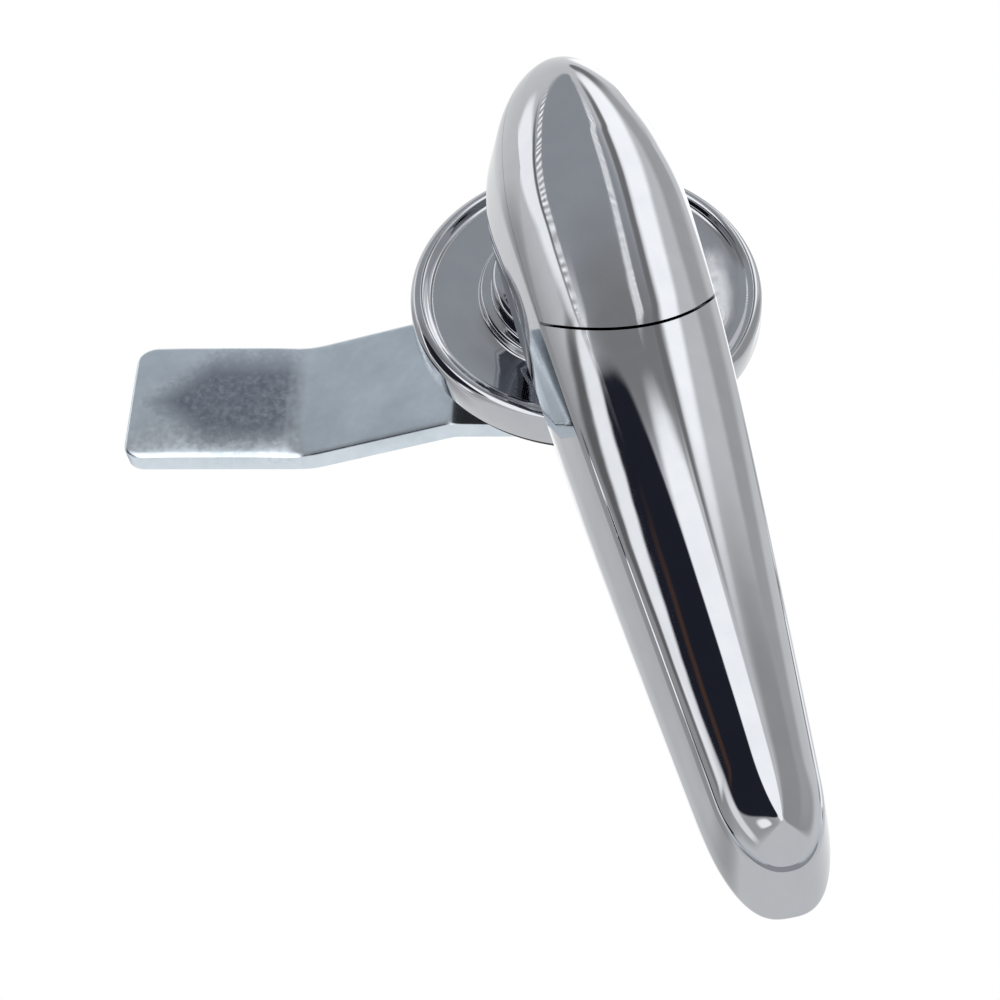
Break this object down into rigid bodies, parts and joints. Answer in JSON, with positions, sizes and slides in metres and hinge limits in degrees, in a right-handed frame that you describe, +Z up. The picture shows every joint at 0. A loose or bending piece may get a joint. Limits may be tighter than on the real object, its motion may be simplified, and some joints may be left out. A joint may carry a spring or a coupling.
{
  "type": "cabinet handle lock",
  "caption": "Lever handle on a round rosette that turns a cranked cam behind a cabinet door, with a key cylinder in its head under a swinging nose cover.",
  "frame": {"origin": "on the spindle axis, in the plane of the gasket's back, which lies on the front of the panel", "axes": "+Y into the cabinet along the spindle, -Y out to the front, +Z up through the nose with the lever hanging down, +X to the right seen from the front"},
  "size_m": [0.0911, 0.0568, 0.1281],
  "materials": {
    "chrome": "polished chrome plating on a zinc casting",
    "cam_zinc": "blue-white zinc plate on stamped steel, satin",
    "zinc_steel": "zinc plate, satin",
    "bright_steel": "turned bright steel",
    "spring_steel": "dark oiled spring steel",
    "nickel": "nickel plate, satin",
    "brass": "turned brass",
    "gasket_rubber": "matt moulded rubber",
    "oring_rubber": "smooth moulded rubber"
  },
  "bodies": {
    "base": {"rosette_base": "chrome", "panel_gasket": "gasket_rubber", "lock_washer": "zinc_steel", "panel_nut": "zinc_steel"},
    "handle": {"handle_body": "chrome", "spindle": "bright_steel", "spindle_pin": "bright_steel", "spindle_oring": "oring_rubber", "stop_pin": "bright_steel", "wave_washer": "spring_steel", "retaining_clip": "spring_steel", "cam": "cam_zinc", "cam_washer": "zinc_steel", "cam_spring_washer": "spring_steel", "cam_screw": "zinc_steel", "barrel_sleeve": "nickel", "sleeve_key": "bright_steel", "pin_spring": "spring_steel"},
    "plug": {"key_plug": "brass", "wafers": "brass", "drive_cam": "bright_steel", "drive_screw": "bright_steel"},
    "pin": {"lock_pin": "bright_steel"},
    "cover": {"nose_cover": "chrome", "cover_screw": "bright_steel", "cover_washer": "spring_steel"}
  },
  "joints": [
    {"name": "handle_turn", "type": "hinge", "parent": "base", "child": "handle", "pos_m": [0, 0, 0], "axis": [0, -1, 0], "range_deg": [0, 90]},
    {"name": "plug_turn", "type": "hinge", "parent": "handle", "child": "plug", "pos_m": [0, 0, 0], "axis": [0, 1, 0], "range_deg": [0, 90]},
    {"name": "pin_slide", "type": "slide", "parent": "handle", "child": "pin", "axis": [0, 1, 0], "range_m": [0, 0.003]},
    {"name": "cover_swing", "type": "hinge", "parent": "handle", "child": "cover", "pos_m": [0, 0, 0.0132], "axis": [0, -1, 0], "range_deg": [0, 110]}
  ],
  "couplings": [
    {"joint": "pin_slide", "follows": "plug_turn", "m_per_rad": 0.0019099}
  ]
}
